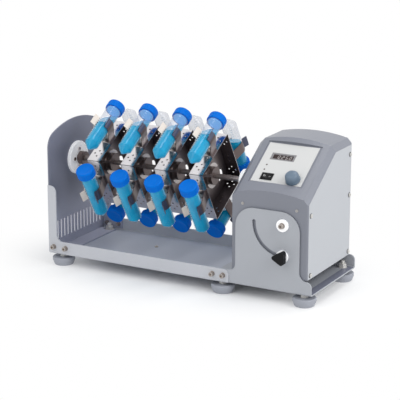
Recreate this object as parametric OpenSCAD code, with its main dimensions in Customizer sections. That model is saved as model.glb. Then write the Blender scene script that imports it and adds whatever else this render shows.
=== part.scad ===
// Tube rotator: a drive housing held between the two arched plates of a folded cradle, an extension
// tray with an end upright, and a rotor of four square carriers that hold sixteen conical tubes.
// X runs along the rotor axis towards the drive, Y to the rear, Z up. The origin is on the table,
// at the middle of the overall box.

/* [Frame] */
// Length over the tray and the drive cradle
frame_len = 550; // [545:1:560]
// Depth over the folded flanges of the tray
frame_depth = 197; // [194:1:204]
// Height of the sheet metal underside above the table
base_z = 22; // [21:0.5:24]
// Thickness of the folded sheet metal
sheet = 2.5; // [2:0.5:3]
// Height of the low front and rear flanges
flange_h = 25.5; // [24:0.5:28]
// Top of the end upright's arch
upright_top = 269; // [264:1:276]
// Width of the cradle's arched plates
arch_w = 126; // [122:1:128]
// Top of the cradle's arched plates
arch_top = 169; // [166:1:174]
// Number of vent slots in the end upright
vent_count = 15; // [7:2:15]

/* [Drive housing] */
// Width of the drive housing
housing_w = 150; // [148:1:154]
// Depth of the drive housing
housing_d = 184; // [180:1:184]
// Height of the flat part of the housing's top at its long edges
housing_top = 268.6; // [266:0.1:272]
// Slope of the control face
slant = 33.5; // [32:0.5:35]
// Radius of the crowned skin, seen along the housing's depth
crown_r = 300; // [260:10:400]
// Thickness of the housing's skin
skin = 2.5; // [2:0.5:3]
// Distance from the tilt pivot to the clamp
tilt_r = 57; // [55:1:58]
// Diameter of the speed knob
knob_d = 28; // [24:1:30]

/* [Rotor] */
// Height of the rotor axis
axis_z = 190; // [189:1:194]
// Angle at which the rotor stands, where 0 has the tube faces at 45 degrees
rotor_angle = -14; // [-30:1:30]
// Distance between neighbouring carriers
pitch = 72.7; // [70:0.1:74]
// Width of a carrier along the axis
carrier_w = 27.5; // [26:0.5:30]
// Distance from the axis to the outside of a carrier face
face_r = 56.5; // [54:0.5:58]
// Sheet thickness of the carriers
carrier_t = 1.5; // [1.2:0.1:2]
// Diameter of the rotor shaft
shaft_d = 10; // [10:1:12]

/* [Tubes and clips] */
// Outer diameter of a tube
tube_d = 29; // [28:0.5:30]
// Diameter of a screw cap
cap_d = 35; // [33:0.5:35]
// Height of a screw cap
cap_h = 13; // [12:0.5:14]
// Overall length of a tube with its cap
tube_len = 121; // [115:1:122]
// Height of a tube's centre line above its carrier face
tube_rise = 31; // [29:0.5:33]
// Width of a clip along the tube
clip_w = 22; // [18:1:24]
// Strip thickness of a clip
clip_t = 1.2; // [1:0.1:1.4]

/* [Hidden] */
$fn = 48;

// Frame
foot_r = 21.5;
foot_h = 15.5;
foot_inset = 19;
foot_out = foot_r - foot_inset;
x_left = -(frame_len + foot_out) / 2;
x_right = (frame_len - foot_out) / 2;
tray_y = frame_depth / 2;
cradle_y = tray_y - sheet;
floor_z = base_z + sheet;
flange_z = base_z + flange_h;
bend_r = 1.5;
tray_floor_end = x_left + 335;
tray_end = x_left + 386.4;
strip_w = 18;
strip_z = 155.5;
arch_x1 = x_right - 24.5;
arch_x0 = arch_x1 - arch_w;
arch_corner_r = 36;
crown_top_r = 199;
upright_corner_r = 30;
vent_pitch = 160 / (vent_count - 1);
foot_y = 82.3;
foot_xs = [x_left + 23, x_left + 368, x_right - foot_inset];
stud_r = 4;
flange_screw_xs = [x_left + 11.4, x_left + 37.8, x_left + 354.4, x_left + 376.1];
flange_screw_z = base_z + 14;
m5_r = 2.5;
m4_r = 2;

// Far bearing
bearing_flange_r = 32;
bearing_flange_t = 6.5;
bearing_r = 9.5;
bearing_w = 5;
bearing_x = x_left + sheet;
bearing_screw_r = 17;

// Drive housing
house_x1 = x_right - 10;
house_x0 = house_x1 - housing_w;
house_x = (house_x0 + house_x1) / 2;
house_y = housing_d / 2;
house_z = 49;
bevel_x = 9.5;
bevel_z = 10;
slant_z = 184.7;
panel_t = 3;
edge_r = 3;
lip = 1;
side_z = housing_top - bevel_z;
slant_end_y = (side_z - slant_z) / tan(slant) - house_y;
pocket_x = [-53, 53];
pocket_s = [30, 132];
pocket_h = 9;
pocket_back = 6.3;
label_t = 0.6;
label_x = [-50, 48.5];
label_s = [33.6, 129];
display_x = [-35, 12.5];
display_s = [88.4, 105.4];
light_at = [[-34.7, 75], [-34.6, 63.3]];
switch_at = [-22.7, 47];
switch_size = [22.7, 16];
rocker_size = [16.8, 10.8];
rocker_pivot_h = 7;
rocker_tilt = 7;
rocker_pin_r = 1.2;
knob_at = [29, 46];
knob_shaft_r = 3;
front_screw_z = 174;
front_screw_x = 53;
pivot_x = house_x + 28.5;
pivot_z = 145.4;
clamp_z = pivot_z - tilt_r;
slot_w = 6.8;
disc_r = 11.2;
disc_t = 4;
bolt_r = 3;
run = 0.05;
panel_screws = [[-81, 165], [-80, 56], [84, 56], [84, 164], [84, 240]];
inlet_x = house_x - 25;
inlet_z = 212;

// Rotor
shaft_r = shaft_d / 2;
rotor_mid = x_left + 199.4;
corner_r = face_r * sqrt(2);
seam = 0.5;
fold_r = 3;
hub_r = 24;
hub_t = 6;
boss_r = 17;
boss_t = 6;
hub_screw_ring = 20.5;
notch_y = 40;
notch_r = 12;
hole_pitch = 7;
hole_end = 20.5;
coupling_r = 20;
coupling_x = house_x0 - 24.5;
coupling_end = house_x0 - 2.6;
motor_x = house_x0 + 22;

// Tubes and clips
tube_r = tube_d / 2;
tube_wall = 1.3;
tube_tip = -57.2;
tube_cone = 14;
tip_r = 3.5;
cap_top = tube_tip + tube_len;
cap_bottom = cap_top - cap_h;
cap_wall = 1.8;
tube_mouth = cap_top - cap_wall;
clip_y = 6;
clip_screw_y = 6;
arm_low = -15;
arm_high = 45;
lip_len = 11;
lip_angle = 58;
// Where the liquid's level crosses each tube's centre line, for the four faces of a carrier
levels = [27, 42, -6, -8];

// The tubes of the upper front face are pushed furthest through their clips, and so are the two
// side ones of the first carrier
function slip(k, q) = q == 0 || (k == 0 && q % 2 == 1) ? 0 : -3.5;

function module_x(k) = rotor_mid + (k - 1.5) * pitch - carrier_w / 2;
function arc(cx, cy, r, a0, a1, n = 8) =
  [for (i = [0:n]) [cx + r * cos(a0 + (a1 - a0) * i / n), cy + r * sin(a0 + (a1 - a0) * i / n)]];

// Places a profile drawn in (Y, Z) and gives it a length along X
module along_x(x, length) translate([x, 0, 0]) rotate([90, 0, 90]) linear_extrude(length) children();
// Places a profile drawn in (X, Z) and gives it a length along Y, centred on the XZ plane
module along_y(length) rotate([90, 0, 0]) linear_extrude(length, center = true) children();
// A cylinder along X, and one along Y
module rod_x(x, length, r) translate([x, 0, 0]) rotate([0, 90, 0]) cylinder(r = r, h = length);
module rod_y(x, y, z, length, r) translate([x, y, z]) rotate([-90, 0, 0]) cylinder(r = r, h = length);
// The frame of the control face: X along the housing, Y up the slope, Z out of the face
module on_slant() translate([house_x, -house_y, slant_z]) rotate([slant, 0, 0]) children();
module box(x, y, z) translate([x[0], y[0], z[0]]) cube([x[1] - x[0], y[1] - y[0], z[1] - z[0]]);
module hex(across, h) cylinder(r = across / sqrt(3), h = h, $fn = 6);

// ---------- Frame ----------

// A folded channel, open at the top, seen along X
module channel(half, top) {
  centre_y = half - bend_r - sheet;
  centre_z = base_z + bend_r + sheet;
  outer_r = bend_r + sheet;
  polygon(concat(
    [[-half, top]], arc(-centre_y, centre_z, outer_r, 180, 270, 5),
    arc(centre_y, centre_z, outer_r, 270, 360, 5), [[half, top], [half - sheet, top]],
    arc(centre_y, centre_z, bend_r, 360, 270, 5), arc(-centre_y, centre_z, bend_r, 270, 180, 5),
    [[-half + sheet, top]]));
}

module foot_holes() for (x = foot_xs, y = [-foot_y, foot_y])
  translate([x, y, base_z - 1]) cylinder(r = stud_r, h = sheet + 2);

module flange_holes() for (x = flange_screw_xs, s = [-1, 1])
  rod_y(x, s * tray_y - 10, flange_screw_z, 20, m5_r);

module tray_side() polygon(concat(
  [[x_left, base_z], [tray_end, base_z]],
  arc(tray_end - 10, flange_z - 10, 10, 0, 90),
  arc(x_left + strip_w + 12, flange_z + 12, 12, 270, 180),
  arc(x_left + strip_w - 13, strip_z - 13, 13, 0, 90),
  [[x_left, strip_z]]));

module tray() color("lightslategray") difference() {
  intersection() {
    along_x(x_left, tray_end - x_left) channel(tray_y, strip_z + 10);
    along_y(frame_depth) tray_side();
  }
  translate([tray_floor_end, -cradle_y, base_z - 1]) cube([100, 2 * cradle_y, flange_h * 2]);
  foot_holes();
  flange_holes();
  translate([x_left + 165, 26, base_z - 1]) cylinder(r = m4_r, h = sheet + 2);
}

// The upright's arch: straight sides, round shoulders and a crowned top
module upright_outline() {
  shoulder_y = cradle_y - upright_corner_r;
  crown_z = upright_top - crown_top_r;
  rise = sqrt(pow(crown_top_r - upright_corner_r, 2) - pow(shoulder_y, 2));
  meet = atan2(rise, shoulder_y);
  polygon(concat(
    [[-cradle_y, floor_z + 3], [3 - cradle_y, floor_z], [cradle_y - 3, floor_z],
      [cradle_y, floor_z + 3]],
    arc(shoulder_y, crown_z + rise, upright_corner_r, 0, meet, 8),
    arc(0, crown_z, crown_top_r, meet, 180 - meet, 16),
    arc(-shoulder_y, crown_z + rise, upright_corner_r, 180 - meet, 180, 8)));
}

module vent_slot() {
  translate([-2.25, 0]) square([4.5, 33.5]);
  circle(r = 2.25, $fn = 24);
  translate([0, 33.5]) circle(r = 2.25, $fn = 24);
}

module upright_flange() polygon(concat(
  [[x_left + 1, floor_z + 3], [x_left + 46, floor_z + 3], [x_left + 46, flange_z - 3]],
  arc(x_left + strip_w - 2 + 12, flange_z - 3 + 12, 12, 270, 180),
  arc(x_left + strip_w - 2 - 10, strip_z - 13, 10, 0, 90),
  [[x_left + 1, strip_z - 3]]));

module end_upright() color("slategray") difference() {
  union() {
    along_x(x_left, sheet) upright_outline();
    for (s = [-1, 1]) translate([0, s * (cradle_y - sheet / 2), 0]) along_y(sheet) upright_flange();
    translate([x_left, -cradle_y + 10, floor_z]) cube([36, 2 * cradle_y - 20, sheet]);
  }
  for (i = [0:vent_count - 1])
    along_x(x_left - 1, sheet + 2) translate([-80 + i * vent_pitch, 44]) vent_slot();
  translate([0, 0, axis_z]) rod_x(x_left - 1, sheet + 2, 12);
  for (a = [0:90:270]) translate([0, 0, axis_z]) rotate([a, 0, 0])
    translate([0, 0, bearing_screw_r]) rod_x(x_left - 1, sheet + 2, m4_r);
  for (s = [-1, 1]) translate([x_left + 23, s * foot_y, floor_z - 1]) cylinder(r = 11, h = sheet + 2);
  flange_holes();
}

module cradle_side() polygon(concat(
  [[tray_floor_end, base_z], [x_right, base_z]],
  arc(x_right - 9.5, flange_z - 9.5, 9.5, 0, 90),
  arc(arch_x1 + 14.5, flange_z + 14.5, 14.5, 270, 180),
  arc(arch_x1 - arch_corner_r, arch_top - arch_corner_r, arch_corner_r, 0, 90, 12),
  arc(arch_x0 + arch_corner_r, arch_top - arch_corner_r, arch_corner_r, 90, 180, 12),
  arc(arch_x0 - 13, flange_z + 13, 13, 0, -90),
  [[tray_floor_end, flange_z]]));

// A quarter of a ring about the tilt pivot, from straight below it to its left
module tilt_slot() {
  intersection() {
    difference() {
      circle(r = tilt_r + slot_w / 2, $fn = 96);
      circle(r = tilt_r - slot_w / 2, $fn = 96);
    }
    translate([-100, -100]) square(100);
  }
  translate([0, -tilt_r]) circle(r = slot_w / 2);
  translate([-tilt_r, 0]) circle(r = slot_w / 2);
}

module cradle() color("lightgray") difference() {
  intersection() {
    along_x(tray_floor_end, x_right - tray_floor_end) channel(cradle_y, arch_top + 10);
    along_y(frame_depth) cradle_side();
  }
  for (s = [-1, 1]) rod_y(pivot_x, s * cradle_y - 10, pivot_z, 20, 6);
  translate([pivot_x, -cradle_y, pivot_z]) along_y(3 * sheet) tilt_slot();
  foot_holes();
  flange_holes();
}

module foot_profile() polygon(concat(
  [[0, 0], [16.5, 0]], arc(16.5, 2, 2, 270, 340, 4),
  [[foot_r, foot_h - 6]], arc(foot_r - 2, foot_h - 2, 2, 0, 90, 4), [[0, foot_h]]));

module feet() color("gray") for (x = foot_xs, y = [-foot_y, foot_y]) translate([x, y, 0])
  difference() {
    rotate_extrude() foot_profile();
    translate([0, 0, 6]) cylinder(r = stud_r, h = foot_h);
  }

module foot_studs() color("silver") for (x = foot_xs, y = [-foot_y, foot_y])
  translate([x, y, 6]) cylinder(r = stud_r, h = 32);

// A locking nut under the sheet, and a washer with a nut on it
module foot_nuts() color("dimgray") for (x = foot_xs, y = [-foot_y, foot_y]) translate([x, y, 0])
  difference() {
    union() {
      translate([0, 0, foot_h]) hex(13, base_z - foot_h);
      translate([0, 0, floor_z]) cylinder(r = 8.5, h = 1.5);
      translate([0, 0, floor_z + 1.5]) hex(13, 6.5);
    }
    translate([0, 0, foot_h - 1]) cylinder(r = stud_r, h = 40);
  }

// A socket head on a spring washer and a plain washer, standing on its seat at z = 0
module socket_head(r, h, across) difference() {
  union() {
    cylinder(r = r + 0.8, h = 1.2);
    cylinder(r = r + 0.2, h = 2.6);
    cylinder(r = r, h = 2.2 + h);
    translate([0, 0, 2.2 + h]) cylinder(r1 = r, r2 = r - 0.4, h = 0.4);
  }
  translate([0, 0, h - 0.4]) hex(across, 4);
}

// Socket head screws that face out of both flanges
module flange_screws() color("silver") for (x = flange_screw_xs, s = [0, 180])
  rotate([0, 0, s]) translate([s == 0 ? x : -x, -tray_y, flange_screw_z]) {
    rotate([90, 0, 0]) socket_head(4.2, 5, 4);
    rotate([-90, 0, 0]) cylinder(r = m5_r, h = 10);
  }

module flange_nuts() color("silver") for (x = flange_screw_xs, s = [0, 180])
  rotate([0, 0, s]) translate([s == 0 ? x : -x, -cradle_y + sheet, flange_screw_z]) rotate([-90, 0, 0])
    difference() {
      hex(8, 4);
      translate([0, 0, -1]) cylinder(r = m5_r, h = 6);
    }

module floor_screw() color("silver") translate([x_left + 165, 26, 0]) difference() {
  union() {
    translate([0, 0, base_z - 2]) cylinder(r = m4_r, h = sheet + 2);
    translate([0, 0, floor_z]) cylinder(r = 3.6, h = 1.6);
  }
  translate([0, 0, floor_z + 0.6]) hex(2.5, 3);
}

// ---------- Far bearing ----------

module far_bearing_flange() color("white") translate([0, 0, axis_z]) difference() {
  union() {
    rod_x(bearing_x, bearing_flange_t - 1, bearing_flange_r);
    rod_x(bearing_x, bearing_flange_t, bearing_flange_r - 1);
  }
  rod_x(bearing_x - 1, 3, 7);
  rod_x(bearing_x + 1, bearing_flange_t, bearing_r);
  for (a = [0:90:270]) rotate([a, 0, 0]) translate([0, 0, bearing_screw_r])
    rod_x(bearing_x - 1, bearing_flange_t + 2, m4_r);
}

module far_bearing() color("silver") translate([0, 0, axis_z]) difference() {
  rod_x(bearing_x + 1, bearing_w, bearing_r);
  rod_x(bearing_x, bearing_w + 2, shaft_r + run);
  for (x = [bearing_x + 0.6, bearing_x + bearing_w + 0.6]) difference() {
    rod_x(x, 0.8, bearing_r - 1.2);
    rod_x(x, 0.8, shaft_r + 1.2);
  }
}

module bearing_screws() color("silver") translate([0, 0, axis_z]) for (a = [0:90:270])
  rotate([a, 0, 0]) translate([0, 0, bearing_screw_r]) difference() {
    union() {
      rod_x(x_left, sheet + bearing_flange_t, m4_r);
      rod_x(bearing_x + bearing_flange_t, 1.6, 3.4);
    }
    translate([bearing_x + bearing_flange_t + 0.5, 0, 0]) rotate([0, 90, 0]) hex(2.5, 3);
  }

// ---------- Drive housing ----------

// The crowned and bevelled outline of the skin, above a line at its bevel's foot, pulled in by i
module crown_outline(i, squash) {
  half = housing_w / 2 - i;
  chord = half - bevel_x;
  swing = asin(chord / crown_r);
  drop = i / squash;
  edge = bevel_z - drop;
  low = -400;
  polygon([for (p = concat(
    [[-half, low], [half, low], [half, -drop], [chord, edge]],
    arc(0, edge - crown_r * cos(swing), crown_r, 90 - swing, 90 + swing, 16),
    [[-chord, edge], [-half, -drop]])) [p[0], p[1] * squash]]);
}

// The plan of the housing with its rounded upright edges, pulled in by i
module plan_outline(i) {
  half_x = housing_w / 2 - i - edge_r;
  half_y = house_y - i - edge_r;
  polygon(concat(arc(half_x, half_y, edge_r, 0, 90, 4), arc(-half_x, half_y, edge_r, 90, 180, 4),
    arc(-half_x, -half_y, edge_r, 180, 270, 4), arc(half_x, -half_y, edge_r, 270, 360, 4)));
}

// The housing's body: the top skin and the slanted skin meet in a mitred ridge
module housing_form(i, low) intersection() {
  translate([house_x, 0, side_z]) along_y(2 * housing_d) crown_outline(i, 1);
  on_slant() along_y(4 * housing_d) crown_outline(i, cos(slant));
  translate([house_x, 0, low]) linear_extrude(300) plan_outline(i);
}

// The side panels' outline, which follows the foot of the bevels
module panel_outline() {
  edge_y = house_y - edge_r;
  polygon([[-edge_y, house_z], [edge_y, house_z], [edge_y, side_z - lip],
    [slant_end_y + lip * tan(slant / 2), side_z - lip],
    [-edge_y, slant_z + edge_r * tan(slant) - lip]]);
}

module panel_volume() {
  along_x(house_x0 - 1, panel_t + 1) panel_outline();
  along_x(house_x1 - panel_t, panel_t + 1) panel_outline();
}

// Openings in the control face for what is fitted in it
module control_cuts() on_slant() {
  box(display_x, display_s, [0, 20]);
  for (p = light_at) translate([p[0], p[1], 0]) cylinder(r = 1.5, h = 20, $fn = 24);
  translate([switch_at[0] - 10, switch_at[1] - 6.9, 0]) cube([20, 13.8, 20]);
  translate([knob_at[0], knob_at[1], 0]) cylinder(r = 4, h = 20);
}

module housing_cover() color("slategray") difference() {
  housing_form(0, house_z);
  difference() {
    housing_form(skin, house_z - 10);
    on_slant() box(pocket_x + [-5, 5], pocket_s + [-5, 5], [pocket_back, 60]);
  }
  panel_volume();
  on_slant() box(pocket_x, pocket_s, [pocket_h, 60]);
  control_cuts();
  for (s = [-1, 1]) rod_y(pivot_x, s * house_y - 5, pivot_z, 10, bolt_r);
  rod_y(pivot_x, -house_y - 5, clamp_z, 10, bolt_r + run);
  for (s = [-1, 1]) rod_y(house_x + s * front_screw_x, -house_y - 5, front_screw_z, 10, 1.5);
  box([inlet_x - 15, inlet_x + 15], [house_y - 10, house_y + 1], [inlet_z - 11, inlet_z + 11]);
}

module housing_base_plate() color("gray") intersection() {
  box([house_x0 + panel_t, house_x1 - panel_t], [-house_y, house_y], [house_z, house_z + skin]);
  translate([house_x, 0, house_z]) linear_extrude(skin) plan_outline(skin);
}

module panel_holes(x) for (p = panel_screws) translate([0, p[0], p[1]]) rod_x(x - 1, panel_t + 2, 1.5);

module left_side_panel() color("whitesmoke") difference() {
  along_x(house_x0, panel_t) panel_outline();
  translate([0, 0, axis_z]) rod_x(house_x0 - 1, panel_t + 2, 11);
  panel_holes(house_x0);
}

module right_side_panel() color("whitesmoke") difference() {
  along_x(house_x1 - panel_t, panel_t) panel_outline();
  panel_holes(house_x1 - panel_t);
}

// A small pan-head screw along X with its head's seat at x = 0 and a cross recess in the head
module panel_screw(r, h) difference() {
  union() {
    rod_x(0, h - 0.5, r);
    rod_x(0, h, r - 0.5);
    rod_x(-8, 8, 1.5);
  }
  for (s = [[0.8, r], [r, 0.8]]) translate([h - 1, -s[0] / 2, -s[1] / 2]) cube([2, s[0], s[1]]);
}

module side_panel_screws() color("silver") for (p = panel_screws) {
  translate([house_x1, p[0], p[1]]) panel_screw(3.6, 2.4);
  translate([house_x0, p[0], p[1]]) mirror([1, 0, 0]) panel_screw(3.6, 2.4);
}

module front_screws() color("darkgray") for (s = [-1, 1])
  translate([house_x + s * front_screw_x, -house_y, front_screw_z]) rotate([0, 0, -90]) panel_screw(2.7, 1.4);

// White plastic bushes that carry the housing in the cradle's plates
module pivot_bushes() color("white") for (a = [0, 180]) rotate([0, 0, a])
  translate([a == 0 ? pivot_x : -pivot_x, 0, pivot_z]) difference() {
    union() {
      rod_y(0, -cradle_y - disc_t, 0, disc_t, disc_r);
      rod_y(0, -cradle_y, 0, cradle_y - house_y, 6);
    }
    rod_y(0, -cradle_y - 10, 0, 20, bolt_r);
  }

module pivot_screws() color("silver") for (a = [0, 180]) rotate([0, 0, a])
  translate([a == 0 ? pivot_x : -pivot_x, 0, pivot_z]) {
    translate([0, -cradle_y - disc_t, 0]) rotate([90, 0, 0]) socket_head(4.6, 4, 4);
    rod_y(0, -cradle_y - disc_t, 0, 20, bolt_r);
    translate([0, -house_y + skin, 0]) rotate([-90, 0, 0]) hex(10, 5);
  }

module clamp_washer() color("white") difference() {
  rod_y(pivot_x, -cradle_y - disc_t, clamp_z, disc_t, disc_r);
  rod_y(pivot_x, -cradle_y - disc_t - 1, clamp_z, disc_t + 2, bolt_r + run);
}

module clamp_nut() color("silver") difference() {
  translate([pivot_x, -house_y + skin, clamp_z]) rotate([-90, 0, 0]) hex(14, 6);
  rod_y(pivot_x, -house_y, clamp_z, 20, bolt_r + run);
}

// ---------- Controls ----------

module control_label() color("ivory") difference() {
  on_slant() box(label_x + [0, 0], label_s, [pocket_h, pocket_h + label_t]);
  control_cuts();
}

module display() color("dimgray") on_slant() difference() {
  box(display_x, display_s, [3.5, pocket_h + 0.4]);
  box(display_x + [4, -4], display_s + [3, -3.4], [pocket_h - 0.4, 20]);
}

module indicator_lights() color("darkslategray") on_slant() for (p = light_at)
  translate([p[0], p[1], 3.5]) cylinder(r = 1.5, h = pocket_h + label_t - 3.1, $fn = 24);

module switch_frame() color("black") on_slant() translate([switch_at[0], switch_at[1], 0])
  difference() {
    union() {
      box([-10, 10], [-6.9, 6.9], [-8, pocket_h]);
      box([-switch_size[0] / 2, switch_size[0] / 2], [-switch_size[1] / 2, switch_size[1] / 2],
        [pocket_h + label_t, pocket_h + label_t + 1.3]);
      box([-10, 10], [-6.9, 6.9], [pocket_h - 1, pocket_h + label_t + 1]);
    }
    box([-9.3, 9.3], [-5.8, 5.8], [1.5, 30]);
    translate([0, 0, rocker_pivot_h]) rotate([90, 0, 0])
      cylinder(r = rocker_pin_r + run, h = 13, center = true, $fn = 24);
  }

module speed_potentiometer() color("darkgoldenrod") on_slant() translate([knob_at[0], knob_at[1], 0])
  difference() {
    union() {
      translate([0, 0, -4]) cylinder(r = 8, h = 10.3);
      translate([0, 0, 6.3]) cylinder(r = 4, h = pocket_h + 0.4 - 6.3);
    }
    translate([0, 0, -2]) cylinder(r = knob_shaft_r + run, h = 20);
  }

module control_board() color("darkgreen") on_slant() {
  box([-46, 46], [22, 126], [-14, -12.4]);
  box([-34, 12], [84, 110], [-12.4, -9]);
  box([16, 30], [84, 98], [-12.4, -10.4]);
}

module board_standoffs() color("silver") on_slant() for (x = [-42, 42], s = [27, 121])
  translate([x, s, -12.4]) cylinder(r = 3, h = 12.4 + pocket_back, $fn = 24);

module power_supply() color("olivedrab") translate([house_x + 13, 45, house_z + skin]) {
  box([-45, 45], [-28, 28], [4.5, 6.1]);
  for (x = [-41, 41], y = [-24, 24]) translate([x, y, 0]) cylinder(r = 3, h = 4.5, $fn = 24);
  box([-16, 14], [-14, 16], [6.1, 28]);
  translate([-30, 0, 6.1]) cylinder(r = 9, h = 22);
  translate([28, 10, 6.1]) cylinder(r = 6, h = 18);
  box([22, 40], [-24, -20], [6.1, 30]);
}

// Appliance inlet with three blades, on the rear wall above the cradle's plate
module mains_inlet() color("black") translate([inlet_x, house_y, inlet_z]) {
  difference() {
    union() {
      box([-25, 25], [0, 3], [-14, 14]);
      box([-15, 15], [-22, 0], [-11, 11]);
    }
    box([-12.2, 12.2], [-16, 4], [-8, 8]);
  }
  for (p = [[-7, -2], [0, 2], [7, -2]])
    box([p[0] - 1, p[0] + 1], [-17, -6], [p[1] - 2, p[1] + 2]);
}

// ---------- Drive ----------

module gear_motor() color("gray") translate([0, 0, axis_z]) difference() {
  union() {
    rod_x(motor_x, 3, 11);
    rod_x(motor_x + 3, 28, 22);
    rod_x(motor_x + 31, 46, 18.5);
    rod_x(motor_x + 77, 3, 6);
  }
  rod_x(motor_x - 1, 16, 4 + run);
}

module motor_bracket() color("silver") difference() {
  union() {
    box([motor_x, motor_x + 3], [-28, 28], [house_z + skin, axis_z + 26]);
    box([motor_x, motor_x + 20], [-28, 28], [house_z + skin, house_z + skin + 3]);
  }
  translate([0, 0, axis_z]) rod_x(motor_x - 1, 6, 11);
}

module drive_bush() color("white") translate([0, 0, axis_z]) difference() {
  union() {
    rod_x(house_x0 - 2, 2, 16);
    rod_x(house_x0, 10, 11);
  }
  rod_x(house_x0 - 5, 20, shaft_r + run);
}

// ---------- Rotor ----------

module rotor() translate([0, 0, axis_z]) rotate([rotor_angle, 0, 0]) children();
// Turns what is drawn on top of a carrier to one of its four faces: 0 is front upper, 1 front lower,
// 2 rear lower and 3 rear upper. Y points to the tube's cap.
module on_face(q) rotate([45 + 90 * q, 0, 0]) children();

module rotor_shaft() color("silver") rotor() {
  rod_x(bearing_x + 1.5, coupling_x + 10 - bearing_x - 1.5, shaft_r);
}

module drive_shaft() color("silver") rotor() {
  rod_x(coupling_x + 10, motor_x - 9 - coupling_x - 10, shaft_r);
  rod_x(motor_x - 9, 23, 4);
}

module drive_coupling() color("white") rotor() difference() {
  union() {
    rod_x(coupling_x, 1, coupling_r - 1);
    rod_x(coupling_x + 1, coupling_end - coupling_x - 1, coupling_r);
  }
  rod_x(coupling_x - 1, 40, shaft_r);
  translate([coupling_x + 11, 0, shaft_r + 3]) cylinder(r = 2.5, h = 30);
}

module end_collar() color("dimgray") rotor() difference() {
  rod_x(bearing_x + bearing_flange_t + 3, 11, 13);
  rod_x(bearing_x, 30, shaft_r);
  translate([bearing_x + bearing_flange_t + 8.5, 0, shaft_r + 3]) cylinder(r = 2.5, h = 30);
}

// The outline of one carrier half, above the seam, pulled in by i
module half_outline(i) {
  tip = corner_r - i * sqrt(2);
  r = fold_r - i;
  base = i == 0 ? seam : -1;
  polygon(concat([[-tip + base, base], [tip - base, base]],
    arc(0, corner_r - fold_r * sqrt(2), r, 45, 135, 6)));
}

// Four small holes in a diamond, near each end of a carrier face
module face_holes() for (s = [-1, 1], p = [[0, 1], [0, -1], [1, 0], [-1, 0]])
  translate([carrier_w / 2 + p[0] * hole_pitch, s * (face_r - hole_end) + p[1] * hole_pitch, 50])
    cylinder(r = 1.75, h = 10, $fn = 24);

module clip_holes() for (s = [-1, 1])
  translate([carrier_w / 2, clip_y + s * clip_screw_y, 50]) cylinder(r = 1.5, h = 10, $fn = 24);

// One half of a carrier: a folded dish with its web on the side away from the drive
module carrier_half(upper) difference() {
  union() {
    difference() {
      along_x(0, carrier_w) half_outline(0);
      along_x(carrier_t, carrier_w) half_outline(carrier_t);
      along_x(-1, 10) for (s = [-1, 1]) translate([s * notch_y, 0])
        if (upper) circle(r = notch_r);
        else polygon([[-notch_r, 0], [notch_r, 0], [s * 3, notch_r]]);
    }
    for (s = [-1, 1]) translate([0.5, s * 51.5 - 17.5, seam]) cube([carrier_w - 4, 35, carrier_t]);
  }
  rod_x(-1, 10, shaft_r + 0.5);
  for (a = [45, 135]) rotate([a, 0, 0]) translate([0, hub_screw_ring, 0]) rod_x(-1, 10, 1.5);
  for (s = [-1, 1], p = [[42.5, 16], [48.4, 12.8]]) translate([0, s * p[0], p[1]]) rod_x(-1, 5, 1.2);
  for (q = [0, 3]) on_face(q) {
    face_holes();
    clip_holes();
  }
  for (s = [-1, 1]) translate([carrier_w / 2, s * 56, -1]) cylinder(r = 1.5, h = 10, $fn = 24);
}

module carrier(k, upper) color("dimgray") rotor() translate([module_x(k), 0, 0])
  rotate([upper ? 0 : 180, 0, 0]) carrier_half(upper);

// Hubs that clamp the two halves of each carrier to the shaft
module carrier_hubs() color("silver") rotor() for (k = [0:3]) translate([module_x(k), 0, 0])
  difference() {
    union() {
      rod_x(carrier_t, hub_t, hub_r);
      rod_x(carrier_t + hub_t, boss_t, boss_r);
    }
    rod_x(0, 30, shaft_r);
    for (a = [45:90:315]) rotate([a, 0, 0]) translate([0, hub_screw_ring, 0]) rod_x(-1, 20, 1.5);
    translate([carrier_t + hub_t + boss_t / 2, 0, shaft_r + 2]) cylinder(r = 2, h = 30);
  }

module hub_screws() color("silver") rotor() for (k = [0:3], a = [45:90:315])
  translate([module_x(k), 0, 0]) rotate([a, 0, 0]) translate([0, hub_screw_ring, 0]) difference() {
    union() {
      rod_x(-1, hub_t + carrier_t + 1, 1.5);
      rod_x(carrier_t + hub_t, 1.8, 2.8);
    }
    translate([carrier_t + hub_t + 0.8, 0, 0]) rotate([0, 90, 0]) hex(2, 3);
  }

// Screws with nuts through the seam flanges of the two halves
module seam_screws() color("silver") rotor() for (k = [0:3], s = [-1, 1])
  translate([module_x(k) + carrier_w / 2, s * 56, 0]) {
    translate([0, 0, -seam - carrier_t - 2.4]) cylinder(r = 1.5, h = 2 * (seam + carrier_t) + 2.4);
    translate([0, 0, -seam - carrier_t - 2.4]) hex(5.5, 2.4);
    translate([0, 0, seam + carrier_t]) cylinder(r = 2.8, h = 1.8, $fn = 24);
  }

// ---------- Tubes and clips ----------

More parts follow.
